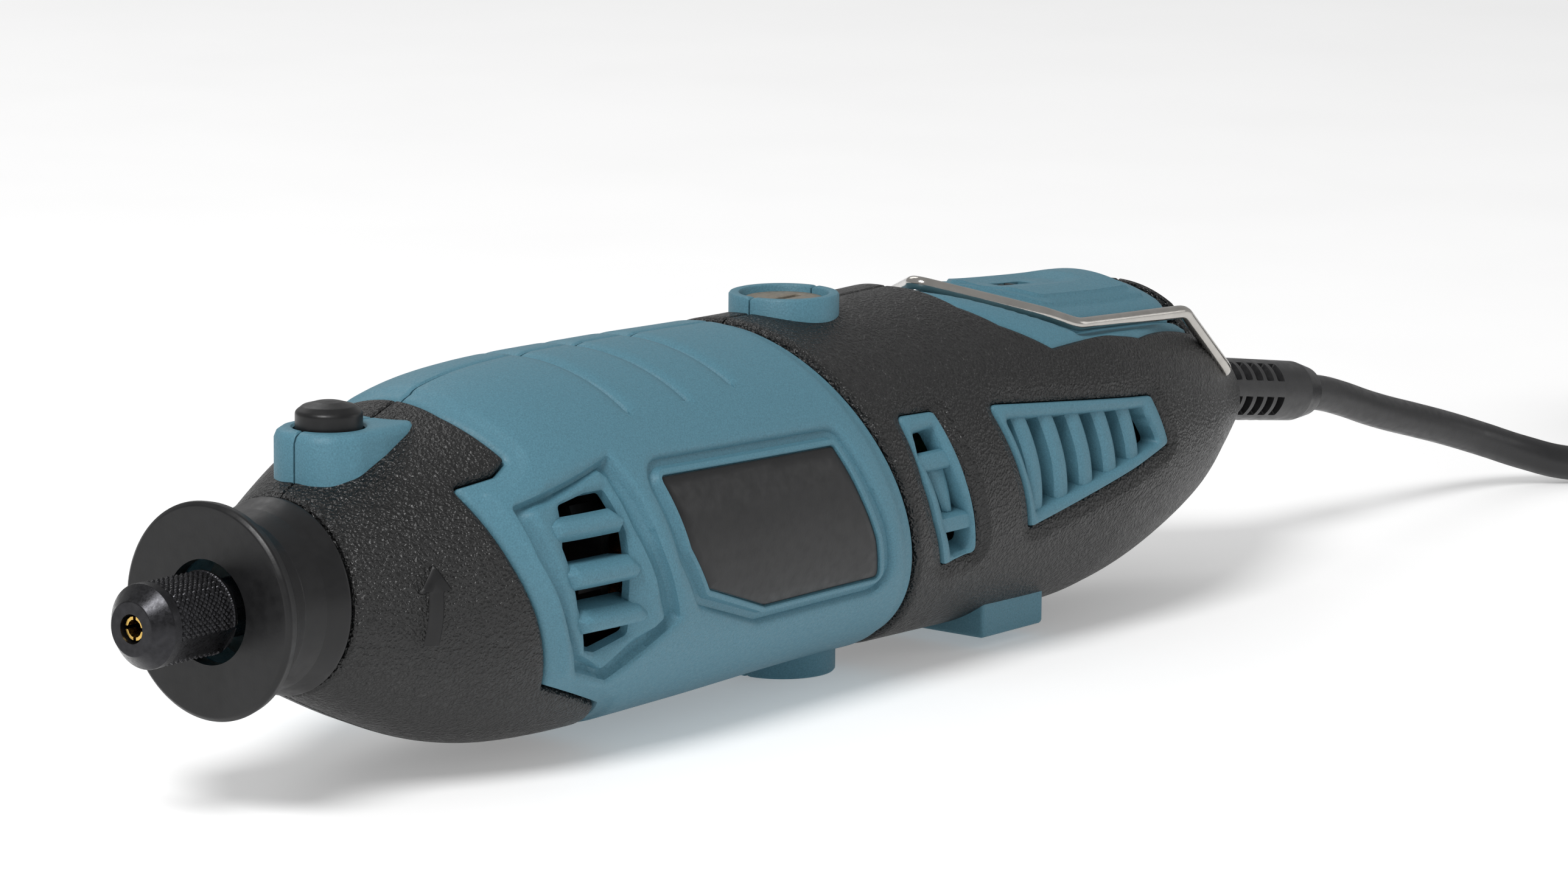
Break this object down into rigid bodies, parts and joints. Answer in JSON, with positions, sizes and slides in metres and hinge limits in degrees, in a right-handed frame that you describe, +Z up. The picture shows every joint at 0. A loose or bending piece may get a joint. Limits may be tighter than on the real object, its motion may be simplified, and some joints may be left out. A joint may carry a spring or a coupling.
{
  "type": "rotary hobby tool",
  "caption": "Hand-held mains rotary tool: clamshell body with soft grips, collet nut nose, spindle lock button, vents, speed wheel, hanging bail, boot, coiled cord and plug.",
  "frame": {"origin": "under the middle of the tool, on the surface it rests on; the cord, its coil and its plug are not counted", "axes": "+X along the spindle axis from the collet nut towards the cord, +Z up through the lock button and the hanging bail, +Y to the right-hand housing half"},
  "size_m": [0.4426, 0.0843, 0.055],
  "materials": {
    "teal_plastic": "moulded, fine satin texture",
    "soft_grip": "leather grain",
    "gloss_black_plastic": "smooth",
    "black_oxide_steel": "black oxide",
    "bright_steel": "bright zinc",
    "motor_steel": "stacked sheets",
    "copper_wire": "enamelled copper",
    "brass": "turned",
    "carbon": "pressed carbon",
    "phenolic": "moulded",
    "nylon": "moulded",
    "circuit_board": "lacquered",
    "cord_rubber": "smooth sheath"
  },
  "bodies": {
    "housing": {"left_housing_shell": "teal_plastic", "right_housing_shell": "teal_plastic", "tail_cover": "teal_plastic", "left_front_grip": "soft_grip", "right_front_grip": "soft_grip", "left_rear_grip": "soft_grip", "right_rear_grip": "soft_grip", "left_label_plate": "gloss_black_plastic", "right_label_plate": "gloss_black_plastic", "speed_potentiometer": "gloss_black_plastic", "upper_brush_holder": "brass", "lower_brush_holder": "brass", "spindle_front_bearing": "bright_steel", "spindle_rear_bearing": "bright_steel", "lock_spring": "bright_steel", "motor_front_bearing": "bright_steel", "motor_rear_bearing": "bright_steel", "upper_brush_spring": "bright_steel", "lower_brush_spring": "bright_steel", "cord_clamp_screw_left": "bright_steel", "cord_clamp_screw_right": "bright_steel", "plug_pin_left": "bright_steel", "plug_pin_right": "bright_steel", "housing_screw_1": "bright_steel", "housing_screw_2": "bright_steel", "housing_screw_3": "bright_steel", "housing_screw_4": "bright_steel", "housing_screw_5": "bright_steel", "stator_core": "motor_steel", "triac_heat_sink": "motor_steel", "left_field_coil": "copper_wire", "right_field_coil": "copper_wire", "suppression_capacitor": "phenolic", "cord_clamp": "nylon", "speed_circuit_board": "circuit_board", "cord_boot": "cord_rubber", "cord_inner_length": "cord_rubber", "cord_lead": "cord_rubber", "cord_coil": "cord_rubber", "cord_tail": "cord_rubber", "plug_body": "cord_rubber"},
    "rotor": {"spindle": "black_oxide_steel", "drive_coupling": "cord_rubber", "armature_shaft": "bright_steel", "armature_core": "motor_steel", "armature_windings": "copper_wire", "commutator": "copper_wire", "cooling_fan": "nylon"},
    "collet_nut": {"collet_nut": "black_oxide_steel", "collet": "brass"},
    "nose_cap": {"nose_cap": "gloss_black_plastic"},
    "lock_button": {"lock_button": "gloss_black_plastic"},
    "upper_brush_cap": {"upper_brush_cap": "phenolic"},
    "lower_brush_cap": {"lower_brush_cap": "phenolic"},
    "upper_carbon_brush": {"upper_carbon_brush": "carbon"},
    "lower_carbon_brush": {"lower_carbon_brush": "carbon"},
    "speed_wheel": {"speed_wheel": "gloss_black_plastic"},
    "hanger_bail": {"hanger_bail": "bright_steel"}
  },
  "joints": [
    {"name": "spindle_spin", "type": "hinge", "parent": "housing", "child": "rotor", "pos_m": [-0.034, 0, 0.0275], "axis": [1, 0, 0], "continuous": true},
    {"name": "collet_nut_off", "type": "slide", "parent": "rotor", "child": "collet_nut", "axis": [-1, 0, 0], "range_m": [0, 0.018]},
    {"name": "nose_cap_off", "type": "slide", "parent": "housing", "child": "nose_cap", "axis": [-1, 0, 0], "range_m": [0, 0.032]},
    {"name": "lock_button_press", "type": "slide", "parent": "housing", "child": "lock_button", "axis": [0, 0, -1], "range_m": [0, 0.003], "stiffness_N_per_m": 300, "deforming": ["lock_spring"]},
    {"name": "speed_wheel_turn", "type": "hinge", "parent": "housing", "child": "speed_wheel", "pos_m": [0.0546, 0, 0.04], "axis": [0, 1, 0], "range_deg": [0, 270]},
    {"name": "hanger_bail_swing", "type": "hinge", "parent": "housing", "child": "hanger_bail", "pos_m": [0.093, 0, 0.0327], "axis": [0, 1, 0], "range_deg": [0, 140]},
    {"name": "upper_brush_cap_out", "type": "slide", "parent": "housing", "child": "upper_brush_cap", "axis": [0, 0, 1], "range_m": [0, 0.012]},
    {"name": "lower_brush_cap_out", "type": "slide", "parent": "housing", "child": "lower_brush_cap", "axis": [0, 0, -1], "range_m": [0, 0.012]},
    {"name": "upper_brush_wear", "type": "slide", "parent": "housing", "child": "upper_carbon_brush", "axis": [0, 0, 1], "range_m": [0, 0.003], "stiffness_N_per_m": 200, "deforming": ["upper_brush_spring"]},
    {"name": "lower_brush_wear", "type": "slide", "parent": "housing", "child": "lower_carbon_brush", "axis": [0, 0, -1], "range_m": [0, 0.003], "stiffness_N_per_m": 200, "deforming": ["lower_brush_spring"]}
  ]
}
